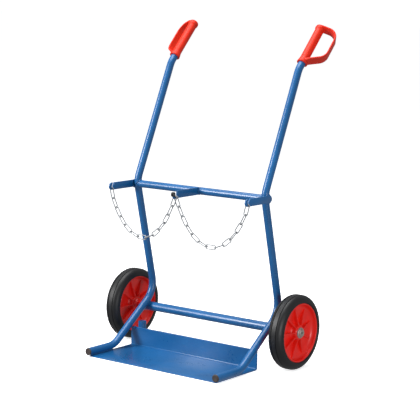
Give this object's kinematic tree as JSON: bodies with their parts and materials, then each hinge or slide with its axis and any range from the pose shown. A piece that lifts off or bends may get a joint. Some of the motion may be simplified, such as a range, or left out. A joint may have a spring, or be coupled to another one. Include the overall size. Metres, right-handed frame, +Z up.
{
  "type": "gas cylinder trolley",
  "caption": "Two-wheeled welding cart for a pair of gas cylinders, with bent tube uprights, a folded toe plate, moulded D grips, outrigger arms and retaining chains.",
  "frame": {"origin": "centre of the toe plate's flat underside, which rests on the floor with the wheels", "axes": "+Z up, +X towards the right-hand wheel along the axle, +Y towards the axle and the person pushing; cylinders load from -Y"},
  "size_m": [0.7596, 0.5832, 1.1315],
  "materials": {
    "blue_paint": "glossy blue powder coat",
    "red_grip": "glossy moulded red",
    "red_rim": "moulded red, slight gloss",
    "tyre": "matt black solid rubber",
    "zinc": "bright zinc plate",
    "steel": "plain bright steel",
    "nylon": "natural nylon",
    "plug_plastic": "dark moulded plastic",
    "black_plastic": "glossy black vinyl"
  },
  "bodies": {
    "cart_frame": {"left_side_tube": "blue_paint", "right_side_tube": "blue_paint", "upper_crossbar": "blue_paint", "axle_tube": "blue_paint", "axle": "steel", "toe_plate": "blue_paint", "left_outer_arm": "blue_paint", "right_outer_arm": "blue_paint", "centre_arm": "blue_paint", "chain_hook": "blue_paint", "hook_cap": "black_plastic", "left_foot_plug": "plug_plastic", "right_foot_plug": "plug_plastic", "rod_holder": "blue_paint", "left_grip": "red_grip", "right_grip": "red_grip", "left_axle_bush": "steel", "left_axle_spacer": "red_rim", "left_inner_washer": "zinc", "left_outer_washer": "zinc", "left_retaining_cap": "steel", "right_axle_bush": "steel", "right_axle_spacer": "red_rim", "right_inner_washer": "zinc", "right_outer_washer": "zinc", "right_retaining_cap": "steel"},
    "left_wheel": {"left_tyre": "tyre", "left_wheel_rim": "red_rim", "left_wheel_bush": "nylon"},
    "right_wheel": {"right_tyre": "tyre", "right_wheel_rim": "red_rim", "right_wheel_bush": "nylon"},
    "left_chain": {"left_chain_link_01": "zinc", "left_chain_link_02": "zinc", "left_chain_link_03": "zinc", "left_chain_link_04": "zinc", "left_chain_link_05": "zinc", "left_chain_link_06": "zinc", "left_chain_link_07": "zinc", "left_chain_link_08": "zinc", "left_chain_link_09": "zinc", "left_chain_link_10": "zinc", "left_chain_link_11": "zinc", "left_chain_link_12": "zinc", "left_chain_link_13": "zinc"},
    "right_chain": {"right_chain_link_01": "zinc", "right_chain_link_02": "zinc", "right_chain_link_03": "zinc", "right_chain_link_04": "zinc", "right_chain_link_05": "zinc", "right_chain_link_06": "zinc", "right_chain_link_07": "zinc", "right_chain_link_08": "zinc", "right_chain_link_09": "zinc", "right_chain_link_10": "zinc", "right_chain_link_11": "zinc", "right_chain_link_12": "zinc", "right_chain_link_13": "zinc"}
  },
  "joints": [
    {"name": "left_wheel_spin", "type": "hinge", "parent": "cart_frame", "child": "left_wheel", "pos_m": [-0.348, 0.209, 0.125], "axis": [1, 0, 0], "continuous": true},
    {"name": "right_wheel_spin", "type": "hinge", "parent": "cart_frame", "child": "right_wheel", "pos_m": [0.348, 0.209, 0.125], "axis": [1, 0, 0], "continuous": true},
    {"name": "right_chain_swing", "type": "hinge", "parent": "cart_frame", "child": "right_chain", "pos_m": [0.14193, 0.00951, 0.56444], "axis": [0.9996, 0.0263, 0.0035], "range_deg": [-30, 30]},
    {"name": "left_chain_swing", "type": "hinge", "parent": "cart_frame", "child": "left_chain", "pos_m": [-0.14193, 0.00696, 0.56444], "axis": [0.999, -0.0442, -0.0035], "range_deg": [-30, 30]}
  ],
  "couplings": [
    {"joint": "left_chain_swing", "follows": "right_chain_swing", "ratio": 1}
  ]
}
